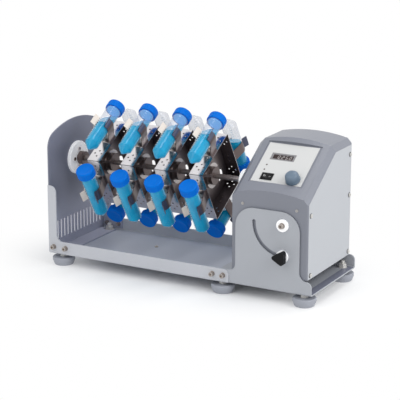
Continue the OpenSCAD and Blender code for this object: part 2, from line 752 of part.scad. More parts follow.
// A clip seen along its tube: a base, two slanting legs, two arms round the tube and out-turned lips
module clip_profile() {
  inner = tube_r + run;
  outer = inner + clip_t;
  low = [outer * cos(arm_low), tube_rise + outer * sin(arm_low)];
  high = [inner * cos(arm_high), tube_rise + inner * sin(arm_high)];
  leg = low[1] / cos(arm_low);
  reach = 40;
  difference() {
    translate([0, tube_rise]) circle(r = outer, $fn = 96);
    translate([0, tube_rise]) circle(r = inner, $fn = 96);
    translate([0, tube_rise]) polygon([[0, 0], [reach * cos(arm_high), reach * sin(arm_high)],
      [0, 2 * reach], [-reach * cos(arm_high), reach * sin(arm_high)]]);
    translate([0, tube_rise]) polygon([[0, 0], [reach * cos(arm_low), reach * sin(arm_low)],
      [0, -2 * reach], [-reach * cos(arm_low), reach * sin(arm_low)]]);
  }
  for (s = [0, 1]) mirror([s, 0]) {
    translate(low) rotate(arm_low) translate([-clip_t, -leg]) square([clip_t, leg + 0.01]);
    translate(high) rotate(lip_angle) translate([0, -clip_t]) square([lip_len, clip_t]);
  }
  base = low[0] - leg * sin(-arm_low);
  translate([-base, 0]) square([2 * base, clip_t]);
}

module clips(k) color("silver") rotor() for (q = [0:3]) on_face(q)
  translate([module_x(k) + carrier_w / 2, clip_y, face_r]) difference() {
    intersection() {
      along_y(clip_w) clip_profile();
      translate([-50, -50, 0]) cube(100);
    }
    for (s = [-1, 1]) translate([0, s * clip_screw_y, -1]) cylinder(r = 1.5, h = 5, $fn = 24);
  }

module clip_screws() color("silver") rotor() for (k = [0:3], q = [0:3], s = [-1, 1]) on_face(q)
  translate([module_x(k) + carrier_w / 2, clip_y + s * clip_screw_y, face_r]) {
    translate([0, 0, -3]) cylinder(r = 1.5, h = 3 + clip_t, $fn = 24);
    translate([0, 0, clip_t]) cylinder(r = 2.8, h = 1.4, $fn = 24);
  }

// Half of a tube's section, from its flat tip to its mouth, pulled in by i
module tube_section(i, top) {
  tip = tip_r - i / 2;
  polygon([[0, tube_tip + i], [tip, tube_tip + i], [tube_r - i, tube_tip + tube_cone],
    [tube_r - i, top], [0, top]]);
}

// Lays what is drawn along Z into the tube's place on face q of carrier k
module in_tube(k, q) rotor() on_face(q)
  translate([module_x(k) + carrier_w / 2, slip(k, q), face_r + tube_rise]) rotate([-90, 0, 0])
    children();

module tubes() color("aliceblue", 0.5) for (k = [0:3], q = [0:3]) in_tube(k, q) rotate_extrude()
  difference() {
    tube_section(0, tube_mouth);
    tube_section(tube_wall, tube_mouth + 1);
  }

module tube_caps() color("dodgerblue") for (k = [0:3], q = [0:3]) in_tube(k, q) rotate_extrude()
  polygon([[tube_r, cap_bottom], [cap_d / 2, cap_bottom], [cap_d / 2, cap_top - 1.2],
    [cap_d / 2 - 1.2, cap_top], [0, cap_top], [0, tube_mouth], [tube_r, tube_mouth]]);

// The liquid settles level in each tube at the angle at which the rotor stands
module tube_contents() color("deepskyblue") for (k = [0:3], q = [0:3]) {
  lie = 45 + 90 * q + rotor_angle;
  height = axis_z + (face_r + tube_rise) * cos(lie) + levels[q] * sin(lie);
  intersection() {
    in_tube(k, q) rotate_extrude() tube_section(tube_wall, tube_mouth - 0.5);
    translate([-400, -400, height - 400]) cube([800, 800, 400]);
  }
}

// ---------- What the hand moves ----------

module speed_knob() color("lightsteelblue") on_slant() translate([knob_at[0], knob_at[1], 0]) {
  difference() {
    rotate_extrude() polygon(concat([[0, pocket_h + 1.6], [knob_d / 2 - 0.8, pocket_h + 1.6],
      [knob_d / 2, pocket_h + 2.4]],
      [for (a = [0:10:90]) [knob_d / 2 * cos(a), pocket_h + 9 + 9.5 * sin(a)]]));
    for (a = [0:30:330]) rotate(a) translate([knob_d / 2 + 1.6, 0, 0]) cylinder(r = 2.4, h = 60);
  }
  cylinder(r = knob_shaft_r, h = pocket_h + 3);
}

module power_rocker() color("black") on_slant()
  translate([switch_at[0], switch_at[1], rocker_pivot_h]) rotate([0, rocker_tilt, 0]) {
    along_y(rocker_size[1]) polygon([[-rocker_size[0] / 2, -2.5], [rocker_size[0] / 2, -2.5],
      [rocker_size[0] / 2, 5], [0, 3.8], [-rocker_size[0] / 2, 5]]);
    rotate([90, 0, 0]) cylinder(r = rocker_pin_r, h = 12.8, center = true, $fn = 24);
  }

// Three-lobed clamp knob on its stud
module clamp_knob() color("black") {
  lobe = 4.2;
  arm = 9.2;
  translate([pivot_x, -cradle_y - disc_t - 0.3, clamp_z]) rotate([90, 0, 0]) {
    linear_extrude(13) {
      polygon([for (a = [60, 180, 300], s = [-60, 60])
        [arm * cos(a) + lobe * cos(a + s), arm * sin(a) + lobe * sin(a + s)]]);
      for (a = [60, 180, 300]) translate([arm * cos(a), arm * sin(a)]) circle(r = lobe);
    }
    translate([0, 0, -14]) cylinder(r = bolt_r, h = 15);
  }
}

tray();
end_upright();
cradle();
feet();
foot_studs();
foot_nuts();
flange_screws();
flange_nuts();
floor_screw();
far_bearing_flange();
far_bearing();
bearing_screws();
housing_cover();
housing_base_plate();
left_side_panel();
right_side_panel();
side_panel_screws();
front_screws();
pivot_bushes();
pivot_screws();
clamp_washer();
clamp_nut();
control_label();
display();
indicator_lights();
switch_frame();
speed_potentiometer();
control_board();
board_standoffs();
power_supply();
mains_inlet();
gear_motor();
motor_bracket();
drive_bush();
rotor_shaft();
drive_shaft();
drive_coupling();
end_collar();
carrier_hubs();
hub_screws();
seam_screws();
clip_screws();
tube_contents();
carrier(0, true);  // carrier_1_upper
carrier(0, false);  // carrier_1_lower
carrier(1, true);  // carrier_2_upper
carrier(1, false);  // carrier_2_lower
carrier(2, true);  // carrier_3_upper
carrier(2, false);  // carrier_3_lower
carrier(3, true);  // carrier_4_upper
carrier(3, false);  // carrier_4_lower
clips(0);  // clips_1
clips(1);  // clips_2
clips(2);  // clips_3
clips(3);  // clips_4
tubes();
tube_caps();
speed_knob();
power_rocker();
clamp_knob();
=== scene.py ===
# %% [markdown]
# # A tube rotator
# This bench instrument turns sixteen capped tubes end over end. The solids of every part are packed
# in one shared frame, in metres, with X along the rotor's axis, Y to the rear and Z up. In this
# lesson they get their finishes, and the pieces that need softer shapes are modelled again.

# %% Load the frame
import math
import bmesh
import bpy
from mathutils import Matrix, Vector


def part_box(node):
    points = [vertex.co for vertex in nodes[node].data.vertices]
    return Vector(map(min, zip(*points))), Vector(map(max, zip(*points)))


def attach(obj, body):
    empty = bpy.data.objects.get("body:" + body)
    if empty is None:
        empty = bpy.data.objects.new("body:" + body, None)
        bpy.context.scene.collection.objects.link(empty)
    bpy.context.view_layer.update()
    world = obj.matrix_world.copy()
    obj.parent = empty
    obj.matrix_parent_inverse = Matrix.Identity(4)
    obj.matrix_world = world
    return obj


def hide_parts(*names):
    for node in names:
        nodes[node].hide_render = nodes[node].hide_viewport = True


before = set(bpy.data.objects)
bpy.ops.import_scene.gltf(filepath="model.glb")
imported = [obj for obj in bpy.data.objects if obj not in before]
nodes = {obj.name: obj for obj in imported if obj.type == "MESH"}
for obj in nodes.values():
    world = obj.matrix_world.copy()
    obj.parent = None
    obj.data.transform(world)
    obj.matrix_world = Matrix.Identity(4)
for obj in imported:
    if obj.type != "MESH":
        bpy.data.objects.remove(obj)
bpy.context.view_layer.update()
mm = 0.001

# %% [markdown]
# ## Main measures
# The rotor carries four square carriers, one pitch apart. It leans a little in the pose shown. Its
# measures come first, because both the finishes and the tubes need them: the axis, the distance
# from it to a carrier's face, how far a tube's axis stands off that face, and where the webs and
# the clips repeat.

# %% Measure the rotor
X_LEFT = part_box("tray")[0][0]
AXIS_Z = 190 * mm
ROTOR_ANGLE = -14  # degrees
PITCH = 72.7 * mm
ROTOR_MID = X_LEFT + 199.4 * mm
FACE = 56.5 * mm
TUBE_RISE = 31 * mm
HALF_WIDTH = 13.75 * mm
WEB_X = ROTOR_MID - 1.5 * PITCH - HALF_WIDTH
CLIP_X = ROTOR_MID - PITCH
print("first carrier's web at", round(WEB_X, 4))

# %% [markdown]
# ## Camera
# A long lens, far away, keeps the instrument's edges nearly parallel, as in a catalogue. The camera
# stands to the right of the front and looks a little down.

# %% Aim from a place
def direction(azimuth, elevation):
    """The direction from the middle of the scene to a place round it."""
    a, e = math.radians(azimuth), math.radians(elevation)
    return Vector((math.sin(a) * math.cos(e), -math.cos(a) * math.cos(e), math.sin(e)))


def turn_to(aim, place):
    """The turn that makes a camera or lamp at a place look at the aim."""
    return (aim - place).to_track_quat("-Z", "Y").to_euler()


aim = Vector((-0.00125, 0, 0.1393))
print("aim at", list(aim))

# %% Set up the camera
CAMERA_DISTANCE = 2.957
stand = aim + direction(28.84, 15.41) * CAMERA_DISTANCE
bpy.ops.object.select_all(action="DESELECT")
bpy.ops.object.camera_add(location=stand, rotation=turn_to(aim, stand))
camera = bpy.context.object
camera.data.lens = 142.7
camera.data.sensor_width = 36
camera.data.clip_end = 50
bpy.context.scene.camera = camera
bpy.context.scene.view_settings.view_transform = "Standard"
print("camera at", [round(v, 3) for v in camera.location])

# %% [markdown]
# ## Light
# Instruments are shot in a white tent. A softbox hangs above, to the rear right, and makes the tops
# light. Two wide lamps, lower down, fill in the front and the right side. The world gives the plain
# level of the tent's walls, which are pure white where the camera or a mirror image sees them.

# %% Hang the lamps
def lamp(name, azimuth, elevation, distance, size, power):
    """A rectangular area light that points at the instrument."""
    place = aim + direction(azimuth, elevation) * distance
    bpy.ops.object.light_add(type="AREA", location=place, rotation=turn_to(aim, place))
    light = bpy.context.object
    light.name = name
    light.data.shape = "RECTANGLE"
    light.data.size, light.data.size_y = size
    light.data.energy = power


lamp("softbox_above", 150, 72, 2.2, (0.5, 1.5), 11)
lamp("front_fill", -15, 40, 2.6, (1.8, 1.8), 16)
lamp("side_fill", 80, 32, 2.4, (1.4, 1.4), 24)
print(len(bpy.data.lights), "lamps")

# %% Paint the tent's walls
world = bpy.data.worlds.new("tent")
bpy.context.scene.world = world
world.use_nodes = True
tent = world.node_tree
tent.nodes.clear()
walls = tent.nodes.new("ShaderNodeBackground")
walls.inputs["Color"].default_value = (0.96, 0.98, 1.0, 1)
walls.inputs["Strength"].default_value = 0.60
white = tent.nodes.new("ShaderNodeBackground")
white.inputs["Color"].default_value = (1, 1, 1, 1)
white.inputs["Strength"].default_value = 1.0
rays = tent.nodes.new("ShaderNodeLightPath")
seen = rays.outputs["Is Camera Ray"]
for kind in ("Is Transmission Ray", "Is Glossy Ray"):
    either = tent.nodes.new("ShaderNodeMath")
    either.operation = "MAXIMUM"
    tent.links.new(seen, either.inputs[0])
    tent.links.new(rays.outputs[kind], either.inputs[1])
    seen = either.outputs[0]
choice = tent.nodes.new("ShaderNodeMixShader")
tent.links.new(seen, choice.inputs[0])
tent.links.new(walls.outputs[0], choice.inputs[1])
tent.links.new(white.outputs[0], choice.inputs[2])
output = tent.nodes.new("ShaderNodeOutputWorld")
tent.links.new(choice.outputs[0], output.inputs["Surface"])
print(len(tent.nodes), "nodes in the tent")

# %% [markdown]
# ## Shader maths as Python
# A finish is a small network of nodes. Drawing it node by node hides the idea, so a wire here is an
# object that Python can add, multiply and compare. Each operator adds the Math node that does it.

# %% A wire that does arithmetic
class Wire:
    """One output socket of a finish's nodes, with the operators of a number."""

    def __init__(self, finish, socket):
        self.finish = finish
        self.socket = socket

    def math(self, operation, first, second=0.0):
        return self.finish.node("ShaderNodeMath", {"operation": operation}, {0: first, 1: second})

    def __add__(self, other):
        return self.math("ADD", self, other)

    def __sub__(self, other):
        return self.math("SUBTRACT", self, other)

    def __mul__(self, other):
        return self.math("MULTIPLY", self, other)

    def __rsub__(self, other):
        return self.math("SUBTRACT", other, self)

    def __truediv__(self, other):
        return self.math("DIVIDE", self, other)

    def __pow__(self, other):
        return self.math("POWER", self, other)

    def __gt__(self, other):
        return self.math("GREATER_THAN", self, other)

    def __lt__(self, other):
        return self.math("LESS_THAN", self, other)

    def __abs__(self):
        return self.math("ABSOLUTE", self)

    def __mod__(self, other):
        return self.math("MODULO", self, other)

    def above(self, other):
        """The larger of the two."""
        return self.math("MAXIMUM", self, other)

    __radd__ = __add__
    __rmul__ = __mul__


print("a wire knows + - * / ** % < > and abs")

# %% A finish to build on
class Finish:
    """A material under construction."""

    def __init__(self, name):
        self.material = bpy.data.materials.new(name)
        self.material.use_nodes = True
        self.tree = self.material.node_tree
        self.tree.nodes.clear()

    def node(self, kind, settings=None, inputs=None, out=0):
        """Adds a node with its settings, feeds its sockets, and gives back one output."""
        node = self.tree.nodes.new(kind)
        for name, value in (settings or {}).items():
            setattr(node, name, value)
        for name, value in (inputs or {}).items():
            if isinstance(value, Wire):
                self.tree.links.new(value.socket, node.inputs[name])
            else:
                node.inputs[name].default_value = value
        return Wire(self, node.outputs[out])

    def place(self, move=(0, 0, 0), turn=(0, 0, 0)):
        """Coordinates on the piece, moved and then turned, in metres and degrees."""
        spot = self.node("ShaderNodeTexCoord", out="Object")
        spot = self.node("ShaderNodeVectorMath", {"operation": "ADD"}, {0: spot, 1: move})
        turn = tuple(math.radians(t) for t in turn)
        return self.node("ShaderNodeMapping", {}, {"Vector": spot, "Rotation": turn})

    def axes(self, vector):
        """The three parts of a vector, each as a wire."""
        node = self.tree.nodes.new("ShaderNodeSeparateXYZ")
        self.tree.links.new(vector.socket, node.inputs[0])
        return [Wire(self, output) for output in node.outputs]

    def noise(self, size, detail, stretch=(1, 1, 1)):
        """A soft random pattern, 0 to 1, with grains of that size in metres."""
        spot = self.node("ShaderNodeVectorMath", {"operation": "MULTIPLY"},
                         {0: self.place(), 1: stretch})
        grains = {"Vector": spot, "Scale": 1 / size, "Detail": detail}
        return self.node("ShaderNodeTexNoise", {}, grains)

    def spread(self, wire, low, high):
        """A wire that runs 0 to 1 stretched to run low to high."""
        return wire * (high - low) + low

    def ramp(self, wire, start, end):
        """0 where the wire is at the start, 1 where it is at the end, and smooth between."""
        return self.node("ShaderNodeMapRange", {"interpolation_type": "SMOOTHSTEP"},
                         {"Value": wire, "From Min": start, "From Max": end})

    def mix(self, mask, first, second):
        """The first colour where the mask is 0, the second where it is 1."""
        colours = {0: mask, 6: first, 7: second}
        return self.node("ShaderNodeMix", {"data_type": "RGBA"}, colours, out=2)

    def bump(self, height, distance):
        """The normal of a surface with that relief, in metres."""
        relief = {"Height": height, "Distance": distance, "Strength": 1.0}
        return self.node("ShaderNodeBump", {}, relief)

    def shade(self, **sockets):
        """Ends the network in a principled surface and gives back the material."""
        named = {name.replace("_", " "): value for name, value in sockets.items()}
        self.end(self.node("ShaderNodeBsdfPrincipled", {}, named))
        return self.material

    def end(self, shader):
        """Joins a shader to the material's surface."""
        output = self.tree.nodes.new("ShaderNodeOutputMaterial")
        self.tree.links.new(shader.socket, output.inputs["Surface"])


print("a finish has", ", ".join(name for name in vars(Finish) if not name.startswith("_")))

# %% Colours
def colour(red, green, blue):
    """A colour picked from a screen, 0 to 255, as the light values a shader takes."""
    def light(value):
        value /= 255
        return value / 12.92 if value <= 0.04045 else ((value + 0.055) / 1.055) ** 2.4
    return (light(red), light(green), light(blue), 1)


def scaled(tone, factor):
    """A lighter or darker tone of the same colour."""
    return tuple(min(1, part * factor) for part in tone[:3]) + (1,)


print("mid grey is", round(colour(128, 128, 128)[0], 3))

# %% [markdown]
# ## Painted sheet metal
# The frame is powder coated. Powder melts into a skin with a faint orange peel, and its tone drifts
# a little over a large panel. Two noises give that: a coarse one in the colour and a fine one in
# the relief and the gloss. Some pieces have a second tone: a lighter one at the foot of the end
# upright, which is painted light, a darker one between the tray's flanges, painted shade on the
# cradle's floor at its end under the housing, and a painted highlight on the cover's front ridge.

# %% Powder coat
def powder_coat(name, tone, gloss=0.42, drift=0.05, sheen=0.25, second=None, where=None):
    """Satin powder coat, with a second tone where that function of the coat gives 1."""
    coat = Finish(name)
    broad = coat.noise(0.09, detail=2)
    peel = coat.noise(0.0011, detail=2)
    skin = coat.mix(broad, scaled(tone, 1 - drift), scaled(tone, 1 + drift))
    if where:
        skin = coat.mix(where(coat), skin, second)
    return coat.shade(
        Base_Color=skin,
        Roughness=coat.spread(peel, gloss - 0.05, gloss + 0.08),
        Normal=coat.bump(peel, 0.00004),
        Specular_IOR_Level=sheen)


print("powder coat ready")

# %% Where a second tone lies
CRADLE_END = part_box("cradle")[1][0]
INSIDE_Y = 92.4 * mm


def painted_light_at_foot(coat):
    """Grows to 1 towards the foot of the end upright, where a lighter tone is painted light."""
    return coat.ramp(coat.axes(coat.place())[2], 0.150, 0.070)


def inside_from(start):
    """1 on the faces between the flanges, from that X to the cradle's end."""
    def mask(coat):
        along, across, _ = coat.axes(coat.place())
        return (abs(across) < INSIDE_Y) * (along < CRADLE_END - 0.4 * mm) * (along > start)
    return mask


def painted_ridge_highlight(coat):
    """1 where the surface turns from the cover's top to its control face, for a painted highlight.
    """
    side, back, _ = coat.axes(coat.node("ShaderNodeTexCoord", out="Normal"))
    return (back < -0.08) * (back > -0.50) * (abs(side) < 0.3)


print("cradle ends at", round(CRADLE_END, 4))

# %% Mix the powders
# The cradle's second tone is painted shade on its floor at its end, under the housing.
light_grey = powder_coat("light_grey_powder", colour(170, 173, 179),
                         second=colour(118, 121, 136), where=inside_from(CRADLE_END - 16 * mm))
tray_grey = powder_coat("tray_grey_powder", colour(192, 194, 200),
                        second=colour(176, 180, 191), where=inside_from(-1))
# The slate's second tone is painted light, lighter towards the upright's foot.
slate = powder_coat("slate_powder", colour(120, 123, 139),
                    second=colour(166, 168, 184), where=painted_light_at_foot)
# The housing's second tone is a painted highlight along the cover's front ridge.
housing_grey = powder_coat("housing_powder", colour(126, 129, 139), gloss=0.33, sheen=0.5,
                           second=colour(186, 189, 198), where=painted_ridge_highlight)
panel_white = powder_coat("panel_powder", colour(184, 187, 192), gloss=0.38, drift=0.015)
label_white = powder_coat("label_film", colour(208, 208, 207), gloss=0.30, drift=0.01, sheen=0.15)
print("six powder coats")

# %% [markdown]
# ## Steel
# The carriers and clips are mirror-rolled stainless sheet. Outside, the faces reflect the bright
# tent; inside a carrier they only see each other and look brown and dark. One material holds both,
# with the dark inside as painted shade: it measures how far a point lies from the rotor's axis
# along the two face directions, and the outer skin is where that is just short of the full
# distance. The webs get a painted light that grows towards their hubs, and the lower plates a
# painted reflection of the tray's floor.

# %% Places in the rotor
def in_rotor(finish, lean):
    """A point along the rotor's axis and across it, in a frame that leans by those degrees more."""
    turn = (-(ROTOR_ANGLE + lean), 0, 0)
    return finish.axes(finish.place(move=(0, 0, -AXIS_Z), turn=turn))


def along_pitch(along, start):
    """How far a point lies past the last of the places one pitch apart, of which start is one."""
    return (along - (start - 10 * PITCH)) % PITCH


FACE_LEAN = 45  # degrees from the rotor's frame to a carrier's faces
print("pitch", PITCH, "m")

# %% Carrier sheet
PLATE = 2.2 * mm
LAST_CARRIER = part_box("carrier_4_lower")[0][0]


def carrier_steel():
    """Mirror-rolled sheet, bright outside, with painted shade dark inside the carriers."""
    steel = Finish("carrier_stainless")
    along, across, up = in_rotor(steel, FACE_LEAN)
    outside = abs(across).above(abs(up)) > FACE - 0.4 * mm
    on_web = along_pitch(along, WEB_X) < PLATE
    painted_hub_light = steel.ramp((across * across + up * up) ** 0.5, 62 * mm, 16 * mm)
    streak = steel.noise(0.004, detail=4, stretch=(0.15, 1, 1))
    patch = steel.noise(0.035, detail=1)
    # Painted shade inside: dark brown, with painted light near the hubs and a painted reflection of
    # the tray's floor on the lower plates.
    inner = steel.mix(patch, colour(72, 64, 68), colour(98, 88, 90))
    inner = steel.mix(on_web * painted_hub_light, inner, colour(160, 148, 146))
    painted_floor_reflection = (up < PLATE - FACE) * (along < LAST_CARRIER)
    inner = steel.mix(painted_floor_reflection * (1 - on_web), inner, colour(196, 184, 182))
    outer = steel.mix(patch, colour(206, 203, 206), colour(236, 234, 236))
    return steel.shade(
        Base_Color=steel.mix(outside, inner, outer),
        Metallic=steel.spread(outside, 0.55, 1.0),
        Roughness=steel.spread(streak, 0.10, 0.20) + 0.22 * (1 - outside),
        Normal=steel.bump(streak, 0.00001))


carrier_sheet = carrier_steel()
print(carrier_sheet.name)

# %% Bright metals
def metal(name, tone, rough, grain=0.0012, turned=False, pure=1.0):
    """Machined or rolled metal with a fine grain."""
    stuff = Finish(name)
    stretch = (0.2, 1, 1) if turned else (1, 1, 1)
    scratch = stuff.noise(grain, detail=4, stretch=stretch)
    cloud = stuff.noise(0.02, detail=2)
    return stuff.shade(
        Base_Color=stuff.mix(cloud, scaled(tone, 0.82), tone),
        Metallic=pure,
        Roughness=stuff.spread(scratch, rough - 0.06, rough + 0.08),
        Normal=stuff.bump(scratch, 0.000012))


print("metals ready")

# %% Spring steel
def clip_steel():
    """Spring steel with a painted reflection: bright left arm, dark right arm that mirrors the
    rotor.
    """
    steel = Finish("spring_steel")
    along, across, up = in_rotor(steel, FACE_LEAN)
    side = along_pitch(along, CLIP_X) - PITCH / 2
    right = steel.ramp(side, -3 * mm, 3 * mm)
    reach = abs(across).above(abs(up)) - FACE
    painted_reflection_over_tube = steel.ramp(reach, 33 * mm, 37 * mm)
    scratch = steel.noise(0.0012, detail=4)
    # Painted reflection: the left arm's pale colour stands for the bright tent, the right arm's
    # dark colours for the rotor it mirrors, bluer over the tube.
    shade = steel.mix(painted_reflection_over_tube, colour(104, 90, 88), colour(84, 88, 108))
    return steel.shade(
        Base_Color=steel.mix(right, colour(232, 222, 212), shade),
        Metallic=steel.spread(right, 0.25, 0.6),
        Roughness=steel.spread(scratch, 0.16, 0.28) + 0.12 * right,
        Normal=steel.bump(scratch, 0.000012))


spring_steel = clip_steel()
print(spring_steel.name)

# %% Turned hubs
def turned_hub():
    """Faced on a lathe, so the grain runs in rings; the bow-tie of sheen is a painted highlight in
    the colour.
    """
    hub = Finish("turned_hubs")
    _, across, up = in_rotor(hub, 0)
    radius = ((across * across + up * up) ** 0.5).above(0.001)
    rings = hub.noise(0.0007, detail=1)
    # Painted highlight: the bow-tie of sheen on the hub's face is painted into its colour.
    tie = hub.ramp(abs(up / radius), 0.62, 0.86)
    face = radius > 17.2 * mm
    tone = hub.mix(tie * face, colour(112, 100, 98), colour(206, 200, 198))
    return hub.shade(Base_Color=tone, Metallic=0.7, Roughness=hub.spread(rings, 0.30, 0.42),
                     Normal=hub.bump(rings, 0.00001))


hub_steel = turned_hub()
print(hub_steel.name)

# %% Choose the other metals
shaft_steel = metal("ground_steel", colour(172, 162, 160), 0.30, turned=True, pure=0.75)
zinc = metal("zinc_plate", colour(176, 168, 162), 0.24, grain=0.0006)
bright_zinc = metal("new_zinc_plate", colour(186, 184, 182), 0.30, grain=0.0006, pure=0.8)
# The pale half-metal zinc on the foot nuts, studs and panel screws is a painted glint.
glint_painted_zinc = metal("glint_painted_zinc", colour(222, 220, 216), 0.36, grain=0.0006, pure=0.45)
dull_zinc = metal("dull_zinc_plate", colour(120, 112, 110), 0.38, grain=0.0006, pure=0.8)
black_steel = metal("blackened_steel", colour(112, 98, 96), 0.28, grain=0.0006, pure=0.7)
hub_aluminium = metal("turned_aluminium", colour(196, 196, 198), 0.30)
print("seven more metals")

# %% [markdown]
# ## Plastics and rubber
# Moulded plastic has an even tone, a soft gloss and a fine spark-eroded texture from its mould. One
# function makes them all. A little emission on the white acetal, the blue caps and the plug seals
# is a painted glow that lightens them.

# %% Moulded plastics
def plastic(name, tone, rough=0.4, grain=0.0004, depth=0.00002, **extra):
    """Moulded plastic with a fine texture."""
    stuff = Finish(name)
    texture = stuff.noise(grain, detail=2)
    cloud = stuff.noise(0.03, detail=1)
    return stuff.shade(
        Base_Color=stuff.mix(cloud, scaled(tone, 0.92), tone),
        Roughness=stuff.spread(texture, rough - 0.05, rough + 0.07),
        Normal=stuff.bump(texture, depth), **extra)


print("plastic ready")

# %% Choose the plastics
# The acetal's emission is a painted glow that lightens the bearing flange and bushes in the rotor's
# shade.
acetal_painted_glow = plastic("white_acetal", colour(250, 250, 250), rough=0.32,
                 Emission_Color=colour(245, 245, 250), Emission_Strength=0.18)
black_plastic = plastic("black_nylon", colour(12, 12, 15), rough=0.42, Specular_IOR_Level=0.2)
rubber = plastic("grey_rubber", colour(158, 161, 170), rough=0.62, grain=0.0008, depth=0.00005)
# The caps' faint emission is a painted glow.
cap_blue = plastic("cap_blue", colour(0, 108, 206), rough=0.40, Specular_IOR_Level=0.08,
                   Emission_Color=colour(0, 90, 215), Emission_Strength=0.05)
# The seals' pale blue and emission are painted light, for plugs that stand in the caps' shade.
seal_blue_painted_glow = plastic("seal_blue_painted_glow", colour(60, 165, 228), rough=0.30,
                    Emission_Color=colour(50, 160, 235), Emission_Strength=0.35)
knob_blue = plastic("knob_blue_grey", colour(100, 118, 136), rough=0.36)
board_green = plastic("solder_mask", colour(28, 92, 58), rough=0.35)
bezel_grey = plastic("display_bezel", colour(140, 138, 140), rough=0.30, Specular_IOR_Level=0.2)
window_dark = plastic("display_window", colour(58, 48, 48), rough=0.20, Specular_IOR_Level=0.2)
lens = plastic("lamp_lens", colour(92, 84, 80), rough=0.15)
ink = plastic("grey_ink", colour(150, 152, 154), rough=0.5)
ink_white = plastic("white_ink", colour(190, 190, 190), rough=0.5)
glow_white = plastic("lit_digits", colour(214, 208, 206), rough=0.4,
                     Emission_Color=colour(230, 222, 220), Emission_Strength=0.25)
print("thirteen plastics")

# %% [markdown]
# ## Clear tubes and their liquid
# The tubes are clear polypropylene, which is never quite water-white: it looks a little milky where
# the wall is seen edge on. Alpha that grows towards grazing angles gives that without refraction.
# Below the liquid's level, which each tube keeps as an attribute, the wall nearly disappears. White
# graduation marks are printed down one side. They follow the tube's own UV map, where U runs round
# the tube and V along it in metres.

# %% Clear plastic
MARK_STEP = 5.6 * mm
MARK_REACH = 36 * mm


def clear_tube():
    """Clear wall with printed marks, milky at its rim and fainter where it is wet."""
    clear = Finish("clear_polypropylene")
    spot = clear.node("ShaderNodeUVMap", {"uv_map": "round_and_along"})
    u, v, _ = clear.axes(spot)
    step = abs((v + 0.1) % MARK_STEP - MARK_STEP / 2)
    band = (v > -MARK_REACH) * (v < MARK_REACH)
    mark = (step < 0.8 * mm) * (abs(u - 0.655) < 0.03) * band
    rim = clear.node("ShaderNodeLayerWeight", {}, {"Blend": 0.35}, out="Facing")
    haze = clear.noise(0.012, detail=2)
    _, _, height = clear.axes(clear.place())
    level = clear.node("ShaderNodeAttribute", {"attribute_name": "level"}, out="Fac")
    wet = height < level
    dry_wall = clear.spread(rim * rim, 0.22, 0.62) + haze * 0.04
    see = dry_wall * (1 - wet) + rim * rim * 0.20 * wet
    return clear.shade(
        Base_Color=clear.mix(mark, colour(188, 192, 206), colour(250, 250, 250)),
        Roughness=clear.spread(haze, 0.08, 0.16),
        Alpha=see.above(mark * 0.85),
        IOR=1.8)


tube_clear = clear_tube()
print(tube_clear.name)

# %% Liquid
def liquid():
    """Blue solution, a little cloudy, with a painted sheen that makes it paler at its rim, and a
    painted glow.
    """
    blue = Finish("blue_solution")
    cloud = blue.noise(0.018, detail=1, stretch=(1.5, 1, 1))
    rim = blue.node("ShaderNodeLayerWeight", {}, {"Blend": 0.45}, out="Facing")
    body = blue.mix(cloud, colour(0, 112, 160), colour(16, 166, 208))
    # Painted sheen: the colour turns paler towards the rim; the emission is a painted glow.
    return blue.shade(
        Base_Color=blue.mix(rim * rim * 0.65, body, colour(120, 210, 235)),
        Roughness=0.10, IOR=1.38,
        Emission_Color=colour(0, 150, 200), Emission_Strength=0.07)


solution = liquid()
print(solution.name)

# %% [markdown]
# ## Finishes on the solids
# Most solids already have the real piece's shape. They stay, and only take a finish. Their meshes
# are loose triangles, so a Weld modifier joins them, and a Bevel rounds the cut edges of the sheet
# metal, which is what catches the light on a real folded part. Small and inner pieces take their
# finish alone.

# %% Dress a solid
def dress(node, material, round_off=0.0, steps=2):
    """Gives a node its finish, and rounds its sharp edges by that many metres."""
    piece = nodes[node]
    piece.data.materials.clear()
    piece.data.materials.append(material)
    for polygon in piece.data.polygons:
        polygon.material_index = 0
    if not round_off:
        return
    weld = piece.modifiers.new("weld", "WELD")
    weld.merge_threshold = 0.000002
    flats = piece.modifiers.new("join_flats", "DECIMATE")
    flats.decimate_type = "DISSOLVE"
    flats.angle_limit = math.radians(0.4)
    bevel = piece.modifiers.new("round_edges", "BEVEL")
    bevel.width = round_off
    bevel.segments = steps
    bevel.limit_method = "ANGLE"
    bevel.angle_limit = math.radians(24)
    bevel.use_clamp_overlap = True
    bevel.harden_normals = True
    normals = piece.modifiers.new("flat_faces", "WEIGHTED_NORMAL")
    normals.keep_sharp = True


print("ready to dress", len(nodes), "nodes")

# %% Round the large pieces
SHEET_EDGE = 0.35 * mm
dress("tray", tray_grey, SHEET_EDGE)
dress("end_upright", slate, SHEET_EDGE)
dress("cradle", light_grey, SHEET_EDGE)
dress("housing_cover", housing_grey, 1.1 * mm, steps=3)
for side in ("left_side_panel", "right_side_panel"):
    dress(side, panel_white, 0.3 * mm)
dress("feet", rubber, 0.5 * mm)
dress("clamp_knob", black_plastic, 1.0 * mm, steps=3)
print(sum(1 for node in nodes.values() if node.modifiers), "nodes rounded")

